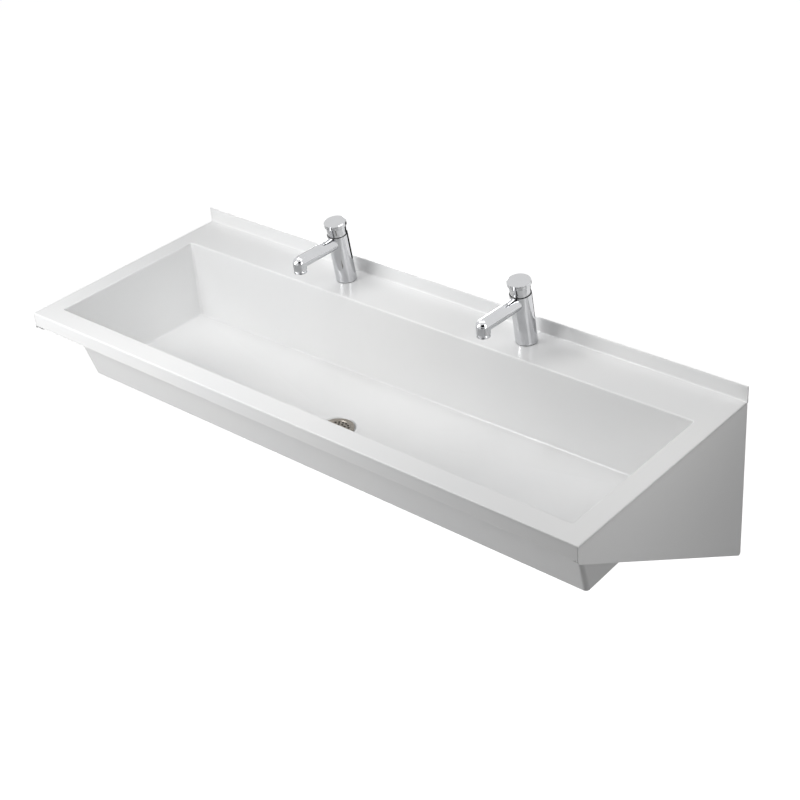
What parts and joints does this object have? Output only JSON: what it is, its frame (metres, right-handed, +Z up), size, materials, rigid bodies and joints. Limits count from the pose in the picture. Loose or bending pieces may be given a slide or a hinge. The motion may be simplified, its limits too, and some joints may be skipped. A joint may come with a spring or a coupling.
{
  "type": "trough sink",
  "caption": "Wall-hung white sheet-steel trough sink with wedge end panels, a central waste and self-closing push-button pillar taps on its rear ledge.",
  "frame": {"origin": "middle of the wall plane at the height of the deck, on the back face of the upstand's hem", "axes": "+X along the trough to the user's right, +Y into the wall, +Z up"},
  "size_m": [1.205, 0.45, 0.4196],
  "materials": {
    "white_coating": "smooth white baked coating, semi-gloss",
    "tap_chrome": "polished chrome plate",
    "button_chrome": "satin chrome plate",
    "waste_chrome": "polished chrome plate, slightly dulled by use",
    "strainer_steel": "brushed",
    "stainless": "mill",
    "spring_steel": "drawn wire",
    "brass": "machined",
    "grey_plastic": "moulded",
    "black_rubber": "matt",
    "red_fibre": "pressed fibre"
  },
  "bodies": {
    "trough": {"trough_body": "white_coating", "left_end_panel": "white_coating", "right_end_panel": "white_coating", "ledge_plates": "stainless", "waste_body": "waste_chrome", "waste_strainer": "strainer_steel", "strainer_screw": "strainer_steel", "waste_upper_seal": "black_rubber", "waste_lower_seal": "black_rubber", "left_tap_body": "tap_chrome", "left_return_spring": "spring_steel", "left_cartridge": "grey_plastic", "left_cartridge_nut": "brass", "left_o_rings": "black_rubber", "left_aerator_ring": "tap_chrome", "left_aerator_insert": "grey_plastic", "left_gasket": "black_rubber", "left_fibre_washer": "red_fibre", "left_backnut": "brass", "right_tap_body": "tap_chrome", "right_return_spring": "spring_steel", "right_cartridge": "grey_plastic", "right_cartridge_nut": "brass", "right_o_rings": "black_rubber", "right_aerator_ring": "tap_chrome", "right_aerator_insert": "grey_plastic", "right_gasket": "black_rubber", "right_fibre_washer": "red_fibre", "right_backnut": "brass"},
    "left_button": {"left_push_button": "button_chrome", "left_spindle": "brass"},
    "right_button": {"right_push_button": "button_chrome", "right_spindle": "brass"}
  },
  "joints": [
    {"name": "left_button_press", "type": "slide", "parent": "trough", "child": "left_button", "axis": [0, 0.1219, -0.9925], "range_m": [0, 0.005], "stiffness_N_per_m": 2000, "springref_m": -0.006, "deforming": ["left_return_spring"]},
    {"name": "right_button_press", "type": "slide", "parent": "trough", "child": "right_button", "axis": [0, 0.1219, -0.9925], "range_m": [0, 0.005], "stiffness_N_per_m": 2000, "springref_m": -0.006, "deforming": ["right_return_spring"]}
  ]
}
